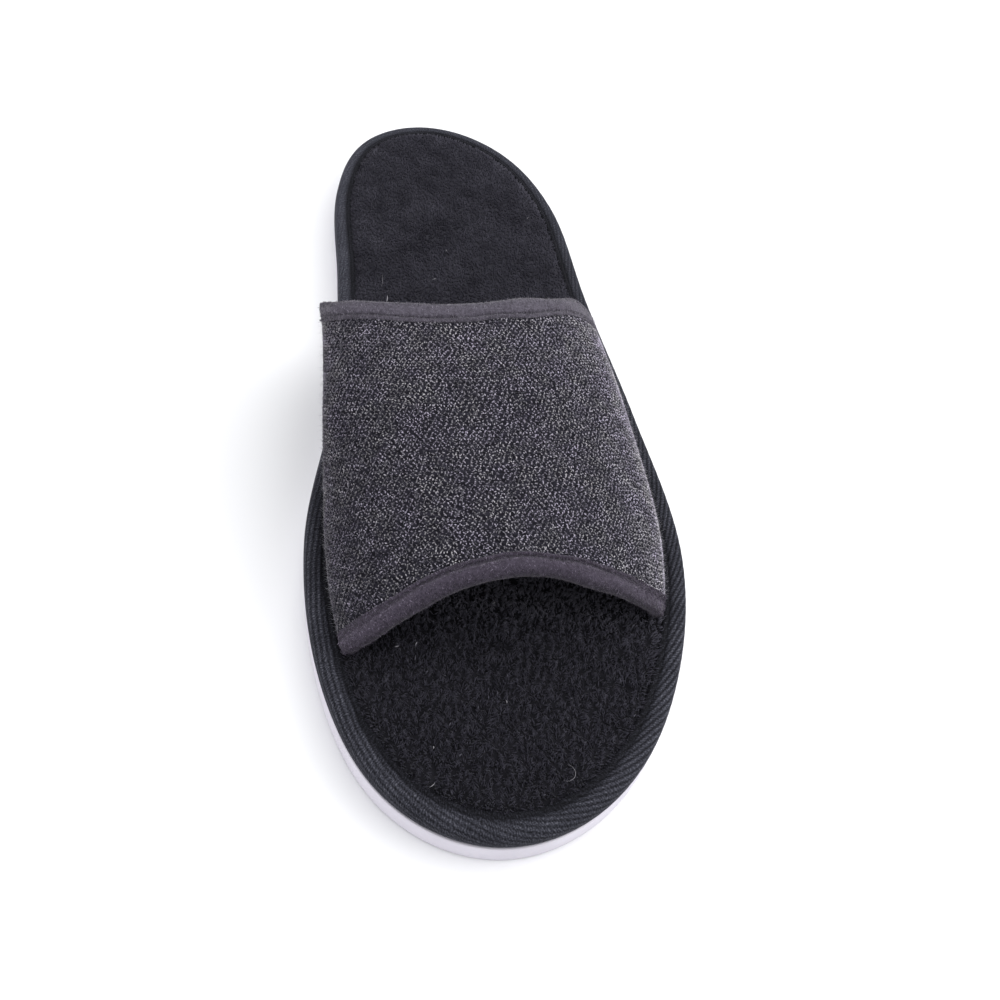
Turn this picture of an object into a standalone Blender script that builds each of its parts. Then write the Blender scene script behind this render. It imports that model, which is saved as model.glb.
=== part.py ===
"""Open-toe house slipper for the left foot: foam outsole, plush footbed, edge tape, knit upper and two bindings.

The toe points to -Y and the heel to +Y, the inner side of the foot is at -X, and the floor is at z = 0.
Sizes are in millimetres here and become metres in the meshes.
"""

import bmesh
import bpy
import numpy as np

MM = 0.001

# Sole
SOLE_LENGTH = 282.0
OUTSOLE_THICK = 6.0
OUTSOLE_INSET = 0.4
OUTSOLE_LOWER_ROUND = 0.9
OUTSOLE_UPPER_ROUND = 0.4
ROUND_MIDDLE = 0.3
SEAT_GAP = 0.3

# Half outline of the sole at angles of an ellipse from toe tip (0) to heel tip (180):
# swell is the half width divided by the sine of the angle, swing the place of the middle line,
# tape the width of the edge tape seen from above.
LAST_ROWS = {
    "angle": (0.0, 22.5, 45.0, 67.5, 90.0, 112.5, 135.0, 157.5, 180.0),
    "swell": (70.0, 69.0, 63.6, 56.9, 45.7, 44.0, 53.0, 61.5, 63.0),
    "swing": (-2.4, -2.0, -0.7, 0.2, -0.9, -6.6, -11.6, -15.6, -17.0),
    "tape": (7.4, 7.2, 7.0, 6.6, 6.2, 5.8, 5.4, 5.2, 5.2),
}

# Tape folded like a C over the edge of the footbed. Outer side of the fold, from the lower leaf to the upper one,
# as shares of the tape's width and height.
TAPE_THICK = 1.1
TAPE_BEND = 0.6
TAPE_TOP = 12.2
TAPE_OUTSIDE = {
    "inset": (1.0, 0.2, 0.05, 0.0, 0.05, 0.22, 0.55, 1.0),
    "height": (0.0, 0.0, 0.2, 0.5, 0.8, 0.98, 1.0, 0.97),
}

# Footbed: a thin rim inside the tape, a level band under the upper, a crowned middle
FOOTBED_BAND_Z = 12.3
FOOTBED_BAND_WIDTH = 4.0
FOOTBED_CROWN = {"reach": (0.82, 0.55), "rise": (0.8, 1.3)}

# Upper: a vault over the instep, from the throat (along 0) to the toe opening (along 1)
WALL = 2.0
FOOT_CLEAR = 0.8
FOOT_Z = FOOTBED_BAND_Z + SEAT_GAP
THROAT_ROWS = {
    "across": (0.0, 0.1, 0.25, 0.37, 0.5, 0.63, 0.75, 0.9, 1.0),
    "y": (30.0, 20.5, 5.4, 0.2, -0.5, 5.4, 14.6, 22.6, 36.0),
}
TOE_ROWS = {
    "across": (0.0, 0.1, 0.25, 0.37, 0.5, 0.63, 0.75, 0.9, 1.0),
    "y": (-90.3, -91.8, -91.1, -86.7, -83.1, -81.1, -79.4, -76.3, -73.9),
}
VAMP_ROWS = {
    "along": (0.0, 0.35, 0.7, 1.0),
    "height": (37.0, 36.0, 31.0, 27.2),
    "inner_bulge": (23.2, 19.6, 9.1, 4.6),
    "outer_bulge": (4.5, 3.7, 3.4, 3.8),
    "fullness": (2.6, 2.5, 2.2, 1.67),
    "steepness": (0.45, 0.5, 0.65, 0.95),
}
SHOULDER_PEAK = 0.65
WALL_UPRIGHT_SHARE = 0.06

# Binding strips folded over the throat and toe edges. Outside of the fold, from the outer leaf's end round the edge
# to the inner leaf's end, as shares of the leaf's depth, of the fold's reach past the edge and of its whole thickness.
LEAF_THICK = 0.9
LEAF_DEPTH = {"throat_binding": 6.4, "toe_binding": 4.6}
FOLD_OUTSIDE = {
    "depth": (1.0, 0.55, 0.1, 0.0, 0.0, 0.0, 0.1, 1.0),
    "past": (0.0, 0.0, 0.0, 0.75, 1.0, 0.75, 0.0, 0.0),
    "through": (0.05, -0.05, 0.0, 0.2, 0.5, 0.8, 1.0, 0.97),
}

# Mesh steps, and the crease above which an edge is sharp, in degrees
OUTLINE_STEPS = 80
ACROSS_STEPS = 40
ALONG_STEPS = 14
NORMAL_STEP = 0.001
SHARP_CREASE = 40.0

COLOURS = {
    "outsole": ((0.72, 0.70, 0.76), 0.75),
    "footbed": ((0.012, 0.012, 0.014), 1.0),
    "sole_tape": ((0.02, 0.021, 0.027), 0.8),
    "upper": ((0.075, 0.073, 0.085), 0.95),
    "binding": ((0.055, 0.05, 0.06), 0.95),
}


def smooth(rows, column, at):
    """Value of a table's column at a place along its first column, by cubic Hermite pieces."""
    places = np.array(next(iter(rows.values())))
    values = np.array(rows[column])
    slopes = np.gradient(values, places)
    at = np.clip(at, places[0], places[-1])
    i = np.clip(np.searchsorted(places, at, side="right") - 1, 0, len(places) - 2)
    span = places[i + 1] - places[i]
    t = (at - places[i]) / span
    start = (1 + 2 * t) * (1 - t) ** 2 * values[i] + t * (1 - t) ** 2 * span * slopes[i]
    end = t**2 * (3 - 2 * t) * values[i + 1] - t**2 * (1 - t) * span * slopes[i + 1]
    return start + end


def mix(a, b, share):
    return a + (b - a) * share


def outline_angles():
    """Turn round the sole of each outline point, and its angle from the toe on either side."""
    turn = 2 * np.pi * (np.arange(OUTLINE_STEPS) + 0.5) / OUTLINE_STEPS
    return turn, np.degrees(np.where(turn < np.pi, turn, 2 * np.pi - turn))


def tape_width():
    return smooth(LAST_ROWS, "tape", outline_angles()[1])


def outline(inset=0.0):
    """Closed outline of the sole, moved inwards by inset. It starts by the toe and runs round the outer side first."""
    turn, angle = outline_angles()
    x = smooth(LAST_ROWS, "swing", angle) + np.sin(turn) * smooth(LAST_ROWS, "swell", angle)
    y = -SOLE_LENGTH / 2 * np.cos(turn)
    x = x - (x.max() + x.min()) / 2
    ahead = np.stack([np.roll(x, -1) - np.roll(x, 1), np.roll(y, -1) - np.roll(y, 1)], 1)
    ahead /= np.linalg.norm(ahead, axis=1, keepdims=True)
    inwards = np.stack([-ahead[:, 1], ahead[:, 0]], 1)
    return np.stack([x, y], 1) + np.reshape(inset, (-1, 1)) * inwards


def foot_line(y, side):
    """Place across the sole where the upper's foot stands, at y, on the outer (+1) or inner (-1) side."""
    loop = outline(tape_width() + FOOT_CLEAR)
    half = loop[: OUTLINE_STEPS // 2] if side > 0 else loop[: OUTLINE_STEPS // 2 - 1 : -1]
    return np.interp(y, half[:, 1], half[:, 0])


def level(loop, z):
    """The outline's points at height z."""
    return np.column_stack([loop, np.full(len(loop), z)])


def vault(across, along):
    """Outer face of the upper. Across runs 0 to 1 from the inner foot over the instep to the outer foot."""
    side = -np.cos(np.pi * across)
    share = (1 + side) / 2
    full = smooth(VAMP_ROWS, "fullness", along)
    rise = np.clip(1 - np.abs(side) ** full, 0, 1) ** smooth(VAMP_ROWS, "steepness", along)
    throat = smooth(THROAT_ROWS, "y", across)
    toe = smooth(TOE_ROWS, "y", across)
    inner = foot_line(mix(THROAT_ROWS["y"][0], TOE_ROWS["y"][0], along), -1)
    outer = foot_line(mix(THROAT_ROWS["y"][-1], TOE_ROWS["y"][-1], along), 1)
    shoulder = np.sin(np.pi * across) / SHOULDER_PEAK
    x = mix(inner, outer, share)
    x = x - smooth(VAMP_ROWS, "inner_bulge", along) * shoulder * (1 - share)
    x = x + smooth(VAMP_ROWS, "outer_bulge", along) * shoulder * share
    z = FOOT_Z + smooth(VAMP_ROWS, "height", along) * rise
    return np.stack([x, mix(throat, toe, along), z], -1)


def vamp(across, along, lift):
    """The upper's outer face, lifted along its normal, which is kept level at the two feet."""
    across, along, lift = np.broadcast_arrays(across, along, lift)
    low, high = np.clip(across - NORMAL_STEP, 0, 1), np.clip(across + NORMAL_STEP, 0, 1)
    over = vault(high, along) - vault(low, along)
    forward = vault(across, along + NORMAL_STEP) - vault(across, along - NORMAL_STEP)
    normal = np.cross(forward, over)
    upright = np.clip(np.minimum(across, 1 - across) / WALL_UPRIGHT_SHARE, 0, 1)
    normal[..., 2] *= upright
    normal /= np.linalg.norm(normal, axis=-1, keepdims=True)
    return vault(across, along) + lift[..., None] * normal


def across_places():
    return np.linspace(0, 1, ACROSS_STEPS + 1)


def skin(name, loops, colour, ring=False):
    """A solid through closed loops of points. A ring joins its ends, any other solid is capped by ladder rungs."""
    count, around = loops.shape[:2]
    mesh = bmesh.new()
    points = [[mesh.verts.new(p * MM) for p in loop] for loop in loops]
    for i in range(count if ring else count - 1):
        here, there = points[i], points[(i + 1) % count]
        for j in range(around):
            k = (j + 1) % around
            mesh.faces.new((here[j], here[k], there[k], there[j]))
    for loop in () if ring else (points[0], points[-1]):
        for j in range(around // 2 - 1):
            mesh.faces.new((loop[j], loop[j + 1], loop[around - 2 - j], loop[around - 1 - j]))
    bmesh.ops.recalc_face_normals(mesh, faces=mesh.faces)
    data = bpy.data.meshes.new(name)
    mesh.to_mesh(data)
    mesh.free()
    data.shade_smooth()
    data.set_sharp_from_angle(angle=np.radians(SHARP_CREASE))
    piece = bpy.data.objects.new(name, data)
    bpy.context.scene.collection.objects.link(piece)
    data.materials.append(finish(colour))
    return piece


def finish(name):
    """Plain surface of a piece: its colour and roughness."""
    if name in bpy.data.materials:
        return bpy.data.materials[name]
    colour, rough = COLOURS[name]
    made = bpy.data.materials.new(name)
    made.use_nodes = True
    shader = made.node_tree.nodes["Principled BSDF"]
    shader.inputs["Base Color"].default_value = (*colour, 1)
    shader.inputs["Roughness"].default_value = rough
    shader.inputs["Metallic"].default_value = 0
    return made


def make_outsole():
    lower, upper = OUTSOLE_LOWER_ROUND, OUTSOLE_UPPER_ROUND
    rows = (
        (lower, 0.0),
        (lower * ROUND_MIDDLE, lower * ROUND_MIDDLE),
        (0.0, lower),
        (0.0, OUTSOLE_THICK - upper),
        (upper, OUTSOLE_THICK),
    )
    loops = [level(outline(OUTSOLE_INSET + inset), z) for inset, z in rows]
    return skin("outsole", np.array(loops), "outsole")


def make_footbed():
    bottom = OUTSOLE_THICK + SEAT_GAP
    rim_inset = TAPE_THICK + TAPE_BEND + SEAT_GAP
    rim_low = bottom + TAPE_THICK + SEAT_GAP
    rim_high = TAPE_TOP - TAPE_THICK - SEAT_GAP
    step = tape_width() + SEAT_GAP
    band = tape_width() + FOOTBED_BAND_WIDTH
    rows = (
        (step, bottom),
        (step, rim_low),
        (rim_inset, rim_low),
        (rim_inset, rim_high),
        (step, rim_high),
        (step, FOOTBED_BAND_Z),
        (band, FOOTBED_BAND_Z),
    )
    loops = [level(outline(inset), z) for inset, z in rows]
    edge = outline(band)
    spine = (edge + edge[::-1]) / 2
    for reach, rise in zip(FOOTBED_CROWN["reach"], FOOTBED_CROWN["rise"]):
        inner = np.column_stack([mix(spine[:, 0], edge[:, 0], reach), edge[:, 1] * reach])
        loops.append(level(inner, FOOTBED_BAND_Z + rise))
    return skin("footbed", np.array(loops), "footbed")


def make_sole_tape():
    """The C of the tape: its outside, then back inside by its thickness."""
    low, high, wide = OUTSOLE_THICK + SEAT_GAP, TAPE_TOP, tape_width()
    bend = TAPE_THICK + TAPE_BEND
    outside = [(wide * inset, mix(low, high, height)) for inset, height in zip(*TAPE_OUTSIDE.values())]
    inside = [
        (wide, high - TAPE_THICK),
        (bend, high - TAPE_THICK),
        (TAPE_THICK, mix(low, high, 0.5)),
        (bend, low + TAPE_THICK),
        (wide, low + TAPE_THICK),
    ]
    loops = [level(outline(inset), z) for inset, z in outside + inside]
    return skin("sole_tape", np.array(loops).transpose(1, 0, 2), "sole_tape", ring=True)


def make_upper():
    along = np.linspace(0, 1, ALONG_STEPS + 1)
    across = across_places()[:, None]
    loops = np.concatenate([vamp(across, along, 0.0), vamp(across, along[::-1], -WALL)], axis=1)
    return skin("upper", loops, "upper")


def make_binding(name, edge, inwards):
    """A strip folded over the upper's edge at along = edge, reaching inwards (+1 or -1) over both faces."""
    past = SEAT_GAP + LEAF_THICK
    leaf = LEAF_DEPTH[name]
    depth = leaf * np.array(FOLD_OUTSIDE["depth"]) - past * np.array(FOLD_OUTSIDE["past"])
    lift = mix(past, -WALL - past, np.array(FOLD_OUTSIDE["through"]))
    depth = np.append(depth, (leaf, -SEAT_GAP, -SEAT_GAP, leaf))
    lift = np.append(lift, (-WALL - SEAT_GAP, -WALL - SEAT_GAP, SEAT_GAP, SEAT_GAP))
    across = across_places()[:, None]
    courses = vault(across, np.linspace(0, 1, ALONG_STEPS + 1))
    reach = np.linalg.norm(np.diff(courses, axis=1), axis=-1).sum(1, keepdims=True)
    return skin(name, vamp(across, edge + inwards * depth / reach, lift), "binding")


def main():
    for old in list(bpy.data.objects):
        bpy.data.objects.remove(old, do_unlink=True)
    make_outsole()
    make_footbed()
    make_sole_tape()
    make_upper()
    make_binding("throat_binding", 0.0, 1)
    make_binding("toe_binding", 1.0, -1)


main()
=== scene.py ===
import bpy
import numpy as np
from mathutils import Matrix, Vector


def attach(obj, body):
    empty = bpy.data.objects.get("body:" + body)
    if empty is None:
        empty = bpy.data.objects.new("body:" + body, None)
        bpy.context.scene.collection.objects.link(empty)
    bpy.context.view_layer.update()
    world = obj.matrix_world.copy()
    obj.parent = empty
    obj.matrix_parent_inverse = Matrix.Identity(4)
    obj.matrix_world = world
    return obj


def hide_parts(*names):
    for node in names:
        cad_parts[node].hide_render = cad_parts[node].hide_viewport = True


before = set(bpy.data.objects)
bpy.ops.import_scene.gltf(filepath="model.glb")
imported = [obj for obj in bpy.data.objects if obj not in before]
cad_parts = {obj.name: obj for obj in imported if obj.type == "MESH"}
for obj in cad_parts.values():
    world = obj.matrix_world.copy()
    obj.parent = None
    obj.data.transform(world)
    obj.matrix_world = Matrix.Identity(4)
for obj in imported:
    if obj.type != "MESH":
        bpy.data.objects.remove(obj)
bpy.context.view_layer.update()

mm = 0.001
root = "root"


# Small helpers: curves through tables, soft noise, meshes and shader nodes

def rowValue(rows, column, at):
    # Cubic Hermite curve through a table's column, with each slope taken from the neighbours
    places = np.array(next(iter(rows.values())), float)
    values = np.array(rows[column], float)
    slopes = np.gradient(values, places)
    at = np.clip(at, places[0], places[-1])
    i = np.clip(np.searchsorted(places, at, side="right") - 1, 0, len(places) - 2)
    span = places[i + 1] - places[i]
    t = (at - places[i]) / span
    start = (1 + 2 * t) * (1 - t) ** 2 * values[i] + t * (1 - t) ** 2 * span * slopes[i]
    end = t**2 * (3 - 2 * t) * values[i + 1] - t**2 * (1 - t) * span * slopes[i + 1]
    return start + end


def mix(a, b, share):
    # From a at share 0 straight to b at share 1
    return a + (b - a) * share


def ease(value, low, high):
    # 0 below low, 1 above high, and a smooth S between
    t = np.clip((value - low) / (high - low), 0, 1)
    return t * t * (3 - 2 * t)


def unit(vectors):
    # Each vector divided by its length
    return vectors / np.maximum(np.linalg.norm(vectors, axis=-1, keepdims=True), 1e-9)


def runAlong(points, axis=0):
    # Way gone along lines of points, 0 at the first: the sum of the steps so far
    first = np.take(points, [0], axis)
    return np.cumsum(np.linalg.norm(np.diff(points, axis=axis, prepend=first), axis=-1), axis)


def waves(x, y, pitch, seed, count=36, spread=(0.7, 1.5)):
    # Sum of plane waves in random directions, with pitches about the one given, mostly within -1 and 1
    draw = np.random.default_rng(seed)
    way = draw.uniform(0, 2 * np.pi, count)
    rate = 2 * np.pi / (pitch * draw.uniform(*spread, count))
    phase = draw.uniform(0, 2 * np.pi, count)
    total = np.zeros(np.broadcast(x, y).shape)
    for k in range(count):
        total += np.cos(rate[k] * (x * np.cos(way[k]) + y * np.sin(way[k])) + phase[k])
    return total / np.sqrt(count)


def waveSum(x, y, layers):
    # Layers of waves, each with its share, its stretch along x and along y, its pitch and its seed
    return sum(share * waves(x / a, y / b, pitch, seed) for share, a, b, pitch, seed in layers)


def gridFaces(rows, columns, wrapRows=False, wrapColumns=False):
    # A face joins a grid point, the next one in its row and the two beside them in the next row
    r, c = np.indices((rows - (not wrapRows), columns - (not wrapColumns)))
    r = np.stack([r, r, r + 1, r + 1], -1).reshape(-1, 4)
    c = np.stack([c, c + 1, c + 1, c], -1).reshape(-1, 4)
    return (r % rows) * columns + c % columns, r, c


def putObject(name, data):
    # A new object at the origin, in the scene
    held = bpy.data.objects.new(name, data)
    bpy.context.scene.collection.objects.link(held)
    return held


def putMesh(name, points, faces, finishes, uv=None, shade=None, smooth=True):
    # Points in mm; faces a list of index arrays; uv one pair per corner; shade one number per point
    mesh = bpy.data.meshes.new(name)
    listed = [face for part in faces for face in part.tolist()]
    mesh.from_pydata((points.reshape(-1, 3) * mm).tolist(), [], listed)
    if uv is not None:
        layer = mesh.uv_layers.new(name="fabric")
        spare = np.zeros((len(mesh.loops), 2))  # end faces have none
        spare[: len(uv)] = uv
        layer.uv.foreach_set("vector", spare.astype(np.float32).ravel())
    if shade is not None:
        layer = mesh.attributes.new("shade", "FLOAT", "POINT")
        layer.data.foreach_set("value", shade.astype(np.float32).ravel())
    mesh.polygons.foreach_set("use_smooth", np.full(len(mesh.polygons), smooth))
    mesh.update()
    for finish in finishes:
        mesh.materials.append(finish)
    return putObject(name, mesh)


def dress(piece, slot, *nodes):
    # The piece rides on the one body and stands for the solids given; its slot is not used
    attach(piece, root)
    if nodes:
        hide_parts(*nodes)
    print("made", piece.name, len(piece.data.polygons), "faces")


def spikes(roots, tips, radius):
    # A closed three-sided spike from each root to its tip, its corners a third of a turn apart round the root
    axis = unit(tips - roots)
    steep = np.abs(axis[:, 2:]) > 0.8  # these take their side from x instead of z
    side = unit(np.cross(axis, np.where(steep, [1.0, 0, 0], [0, 0, 1.0])))
    other = np.cross(axis, side)
    turn = np.arange(3) * 2 * np.pi / 3
    ring = side[:, None] * np.cos(turn)[:, None] + other[:, None] * np.sin(turn)[:, None]
    corners = roots[:, None] + ring * np.reshape(radius, (-1, 1, 1))
    points = np.concatenate([corners, tips[:, None]], 1).reshape(-1, 3)
    first = 4 * np.arange(len(roots))[:, None, None]
    faces = first + np.array([[0, 1, 3], [1, 2, 3], [2, 0, 3], [0, 2, 1]])
    return points, faces.reshape(-1, 3)


def tubes(paths, radius, upright, sides=6):
    # A closed tube along each path: rings of equal corners square to the path, with a flat end on each
    count, steps = paths.shape[:2]
    ahead = unit(np.gradient(paths, axis=1))
    side = unit(np.cross(ahead, upright))
    over = np.cross(side, ahead)
    around = np.arange(sides)
    turn = around * 2 * np.pi / sides
    ring = side[:, :, None] * np.cos(turn)[:, None] + over[:, :, None] * np.sin(turn)[:, None]
    points = paths[:, :, None] + ring * np.broadcast_to(radius, (count, steps))[:, :, None, None]
    faces, _, _ = gridFaces(steps, sides, wrapColumns=True)
    first = steps * sides * np.arange(count)[:, None, None]
    walls = (first + faces[:, ::-1]).reshape(-1, 4)
    ends = np.concatenate([first + around, first + (steps - 1) * sides + around[::-1]], 1)
    return points.reshape(-1, 3), [walls, ends.reshape(-1, sides)]


def sampleGrid(grid, row, column):
    # Bilinear value of a grid of points at fractional rows and columns
    r = np.clip(np.floor(row).astype(int), 0, grid.shape[0] - 2)
    c = np.clip(np.floor(column).astype(int), 0, grid.shape[1] - 2)
    a, b = (row - r)[:, None], (column - c)[:, None]
    low = mix(grid[r, c], grid[r, c + 1], b)
    return mix(low, mix(grid[r + 1, c], grid[r + 1, c + 1], b), a)


def gridNormals(grid):
    # Square to the grid's rows and columns
    return unit(np.cross(np.gradient(grid, axis=1), np.gradient(grid, axis=0)))


def plug(tree, kind, inputs=None, **settings):
    # A shader node with its settings, its inputs filled by values or by other nodes' outputs
    made = tree.nodes.new("ShaderNode" + kind)
    for key, value in settings.items():
        setattr(made, key, value)
    for key, value in (inputs or {}).items():
        if isinstance(value, bpy.types.NodeSocket):
            tree.links.new(value, made.inputs[key])
        else:
            made.inputs[key].default_value = value
    return made


def ramp(tree, factor, stops):
    # Colours along a number from 0 to 1; a new ramp's two stops become the first and the last
    made = plug(tree, "ValToRGB", {0: factor})
    band = made.color_ramp.elements
    for stop, (place, colour) in zip(band, (stops[0], stops[-1])):
        stop.position = place
        stop.color = (*colour, 1)
    for place, colour in stops[1:-1]:
        band.new(place).color = (*colour, 1)
    return made.outputs[0]


def maths(tree, operation, a, b=0.0):
    return plug(tree, "Math", {0: a, 1: b}, operation=operation).outputs[0]


def weighed(tree, *terms):
    # Sum of outputs, each times its weight
    total, *others = (maths(tree, "MULTIPLY", *term) for term in terms)
    for other in others:
        total = maths(tree, "ADD", total, other)
    return total


def newFinish(name, rough, specular=0.3, sheen=0.0, sheenRough=0.5, sheenTint=(1, 1, 1)):
    made = bpy.data.materials.new(name)
    made.use_nodes = True
    shader = made.node_tree.nodes["Principled BSDF"]
    values = {
        "Roughness": rough, "Specular IOR Level": specular,
        "Sheen Weight": sheen, "Sheen Roughness": sheenRough, "Sheen Tint": (*sheenTint, 1),
    }
    for key, value in values.items():
        shader.inputs[key].default_value = value
    return made, made.node_tree, shader


def colourBy(tree, shader, factor, stops):
    tree.links.new(ramp(tree, factor, stops), shader.inputs["Base Color"])


def bumpBy(tree, shader, height, strength, distance):
    bump = plug(tree, "Bump", {"Strength": strength, "Distance": distance * mm, "Height": height})
    tree.links.new(bump.outputs[0], shader.inputs["Normal"])


def noise(tree, coords, pitch, detail=2, rough=0.5, stretch=(1, 1, 1)):
    # Soft noise with features about pitch metres apart, drawn out along each axis by stretch
    placed = plug(tree, "Mapping", {"Vector": coords, "Scale": [1 / s for s in stretch]})
    fill = {"Vector": placed.outputs[0], "Scale": 1 / pitch, "Detail": detail, "Roughness": rough}
    return plug(tree, "TexNoise", fill).outputs["Fac"]


def objectCoords(tree):
    return plug(tree, "TexCoord").outputs["Object"]


def fabricCoords(tree):
    return plug(tree, "UVMap", uv_map="fabric").outputs[0]


def shadeOf(tree):
    return plug(tree, "Attribute", attribute_name="shade").outputs["Fac"]


def shadedFinish(name, stops, **look):
    # Coloured by the mesh's own shade alone
    made, tree, shader = newFinish(name, **look)
    colourBy(tree, shader, shadeOf(tree), stops)
    return made


# Sole outline, in mm, by angle round an ellipse: 0 at the toe tip, 180 at the heel tip

sole = {"length": 282.0, "halfSteps": 3000, "sidePoints": 900, "nudge": 0.001}
soleRows = {
    "angle": (0, 22.5, 45, 67.5, 90, 112.5, 135, 157.5, 180),
    "swell": (70.0, 69.0, 63.6, 56.9, 45.7, 44.0, 53.0, 61.5, 63.0),
    "swing": (-2.4, -2.0, -0.7, 0.2, -0.9, -6.6, -11.6, -15.6, -17.0),
    "tape": (7.4, 7.2, 7.0, 6.6, 6.2, 5.8, 5.4, 5.2, 5.2),
}


def angleOf(turn):
    # Degrees from the toe tip, the same on both sides
    return np.degrees(np.arccos(np.clip(np.cos(turn), -1, 1)))


def soleLine(turn):
    # x = swing + swell sin(turn), y = minus half the length times cos(turn)
    swing, swell = (rowValue(soleRows, name, angleOf(turn)) for name in ("swing", "swell"))
    return np.stack([swing + np.sin(turn) * swell, -sole["length"] / 2 * np.cos(turn)], -1)


fineTurn = np.linspace(0, 2 * np.pi, 2 * sole["halfSteps"] + 1)
fineLine = soleLine(fineTurn)
soleMiddle = (fineLine[:, 0].max() + fineLine[:, 0].min()) / 2
edgeRun = runAlong(fineLine)
edgeLength = edgeRun[-1]


def turnAt(run):
    # Turn at a way along the outline, from the toe tip round the outer side
    return np.interp(np.mod(run, edgeLength), edgeRun, fineTurn)


def tapeWide(turn):
    return rowValue(soleRows, "tape", angleOf(turn))


def soleEdge(turn, inset):
    # The sole's outline moved in along its normal
    turn, inset = np.broadcast_arrays(turn, inset)
    ahead = unit(soleLine(turn + sole["nudge"]) - soleLine(turn - sole["nudge"]))
    inwards = np.stack([-ahead[..., 1], ahead[..., 0]], -1)
    return soleLine(turn) - (soleMiddle, 0) + inset[..., None] * inwards


def sideAt(y, side, inset):
    # x of the tape's inner edge, moved in, at y on the outer (1) or inner (-1) side
    turn = np.linspace(sole["nudge"], np.pi - sole["nudge"], sole["sidePoints"])
    turn = turn if side > 0 else 2 * np.pi - turn
    line = soleEdge(turn, tapeWide(turn) + inset)
    return np.interp(y, line[:, 1], line[:, 0])


# Outsole: one pale foam sheet with a cut side

outsole = {
    "steps": 460, "roundSteps": 6, "sideSteps": 9, "inset": 0.4, "thick": 6.0,
    "lowerRound": 0.9, "upperRound": 0.45, "swell": 0.22,
}


def foamFinish():
    made, tree, shader = newFinish("soleFoam", rough=0.62, specular=0.35)
    coords = objectCoords(tree)
    cloud = noise(tree, coords, 0.02, detail=4)
    colourBy(tree, shader, cloud, [(0.3, (0.58, 0.555, 0.615)), (0.7, (0.645, 0.62, 0.68))])
    cells = plug(tree, "TexVoronoi", {"Vector": coords, "Scale": 1400.0})
    studs = plug(tree, "TexVoronoi", {"Vector": coords, "Scale": 260.0}, feature="SMOOTH_F1")
    height = plug(tree, "SeparateXYZ", {0: coords}).outputs[2]
    below = maths(tree, "LESS_THAN", height, 0.0004)  # studs on the underside alone
    grain = weighed(tree, (cells.outputs["Distance"], 0.25), (studs.outputs["Distance"], below))
    bumpBy(tree, shader, grain, 0.35, 0.25)
    return made


def makeOutsole():
    # The outline carried up a profile: a round lower edge, a side that swells a little, a round upper edge
    p = outsole
    quarter = np.linspace(0, np.pi / 2, p["roundSteps"])
    lift = np.linspace(0, 1, p["sideSteps"])[1:-1]
    inset = np.concatenate([
        p["lowerRound"] * (1 - np.sin(quarter)),
        -p["swell"] * np.sin(np.pi * lift),
        p["upperRound"] * (1 - np.cos(quarter)),
    ])
    z = np.concatenate([
        p["lowerRound"] * (1 - np.cos(quarter)),
        mix(p["lowerRound"], p["thick"] - p["upperRound"], lift),
        p["thick"] - p["upperRound"] * (1 - np.sin(quarter)),
    ])
    around = np.arange(p["steps"])
    turn = turnAt(around / p["steps"] * edgeLength)
    edge = soleEdge(turn[None], p["inset"] + inset[:, None])
    points = np.concatenate([edge, np.broadcast_to(z[:, None, None], edge.shape[:2] + (1,))], -1)
    walls, _, _ = gridFaces(len(z), p["steps"], wrapColumns=True)
    caps = [around[None, ::-1], (len(z) - 1) * p["steps"] + around[None]]
    dress(putMesh("outsoleFoam", points, [walls, *caps], [foamFinish()]), "sole_foam", "outsole")


# Footbed: a foam board under short black plush

footbed = {
    "rows": 320, "columns": 92, "tipGap": 0.3, "tuck": 0.9, "low": 6.4, "edgeZ": 11.5,
    "edgeRise": 0.9, "edgeReach": 3.5, "crown": 1.1, "crownReach": 22.0,
    "tuftRise": 0.28, "tuftReach": (0.5, 4.0), "flatTuft": 0.25,
    "trodden": (-25.0, 55.0), "edgePoints": 700, "batch": 4000,
    "tufts": ((0.6, 1, 1.2, 5.5, 3), (0.5, 1, 1.3, 5.5 / 2.4, 4)),
}


def plushGround():
    made, tree, shader = newFinish("plushGround", rough=1.0, specular=0.05)
    cloud = noise(tree, objectCoords(tree), 0.004, detail=3)
    colourBy(tree, shader, weighed(tree, (cloud, 0.4), (shadeOf(tree), 0.5)), [
        (0.12, (0.006, 0.006, 0.0075)),
        (0.3, (0.014, 0.0136, 0.0168)),
        (0.8, (0.031, 0.0302, 0.0375)),
    ])
    return made


def plushFibre():
    return shadedFinish("plushFibre", [
        (0.0, (0.0045, 0.0044, 0.0058)),
        (0.45, (0.0172, 0.0165, 0.0228)),
        (0.8, (0.046, 0.0443, 0.0575)),
        (1.0, (0.1, 0.097, 0.118)),
    ], rough=1.0, specular=0.04, sheen=0.04)


def edgeNear(x, y):
    # Way to the nearest of many points of the footbed's edge, worked out in batches
    p = footbed
    turn = turnAt(np.arange(p["edgePoints"]) / p["edgePoints"] * edgeLength)
    line = soleEdge(turn, tapeWide(turn) - p["tuck"])
    flat = np.stack([x.ravel(), y.ravel()], 1)
    nearest = [
        line[((part[:, None] - line[None]) ** 2).sum(-1).argmin(1)]
        for part in np.array_split(flat, max(1, len(flat) // p["batch"]))
    ]
    return (np.concatenate(nearest) - flat).reshape(x.shape + (2,))


def trodden(y):
    # 0 in the long pile at the toe, 1 where the heel has flattened it
    return ease(y, *footbed["trodden"])


def tuftHeight(x, y):
    # Tufts: two sizes of waves, a little longer along the foot than across, and lower at the heel
    return mix(1, footbed["flatTuft"], trodden(y)) * waveSum(x, y, footbed["tufts"])


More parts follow.
